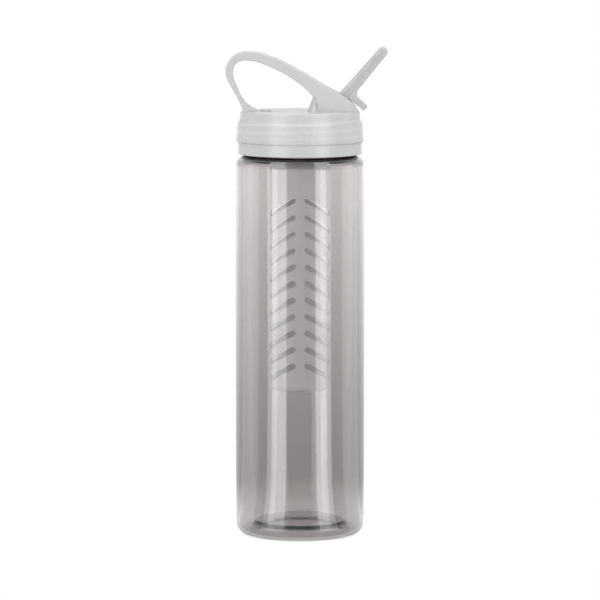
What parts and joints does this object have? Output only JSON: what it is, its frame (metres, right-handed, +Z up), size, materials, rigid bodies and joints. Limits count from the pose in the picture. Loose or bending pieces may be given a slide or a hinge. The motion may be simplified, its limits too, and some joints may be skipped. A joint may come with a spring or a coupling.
{
  "type": "fruit infuser water bottle",
  "caption": "Clear water bottle with a screw lid, carry handle, flip-up drinking spout and a slotted infuser tube hanging from the lid.",
  "frame": {"origin": "centre of the circle that the bottle stands on", "axes": "+Z up along the bottle's axis, +X towards the side that the open spout leans to, -Y the front"},
  "size_m": [0.0902, 0.072, 0.2736],
  "materials": {
    "clear_copolyester": "clear smoke-tinted, glossy",
    "frosted_polypropylene": "translucent, satin moulded",
    "clear_spout_plastic": "clear, glossy",
    "silicone": "translucent white, matte"
  },
  "bodies": {
    "bottle": {"bottle_body": "clear_copolyester"},
    "lid_thread": {"lid_gasket": "silicone"},
    "lid": {"lid": "frosted_polypropylene", "spout_seal": "silicone", "vent_valve": "silicone"},
    "spout": {"spout": "clear_spout_plastic"},
    "basket_thread": {"basket_seal": "silicone"},
    "basket": {"infuser_basket": "frosted_polypropylene"}
  },
  "joints": [
    {"name": "lid_lift", "type": "slide", "parent": "bottle", "child": "lid_thread", "axis": [0, 0, 1], "range_m": [0, 0.00945]},
    {"name": "lid_turn", "type": "hinge", "parent": "lid_thread", "child": "lid", "pos_m": [0, 0, 0.236], "axis": [0, 0, 1], "range_deg": [0, 810]},
    {"name": "spout_flip", "type": "hinge", "parent": "lid", "child": "spout", "pos_m": [0.02102, 0, 0.2417], "axis": [0, -1, 0], "range_deg": [0, 94.5]},
    {"name": "basket_drop", "type": "slide", "parent": "lid", "child": "basket_thread", "axis": [0, 0, -1], "range_m": [0, 0.0084]},
    {"name": "basket_turn", "type": "hinge", "parent": "basket_thread", "child": "basket", "pos_m": [0, 0, 0.207], "axis": [0, 0, -1], "range_deg": [0, 720]}
  ],
  "couplings": [
    {"joint": "lid_turn", "follows": "lid_lift", "rad_per_m": 1496},
    {"joint": "basket_turn", "follows": "basket_drop", "rad_per_m": 1496}
  ]
}
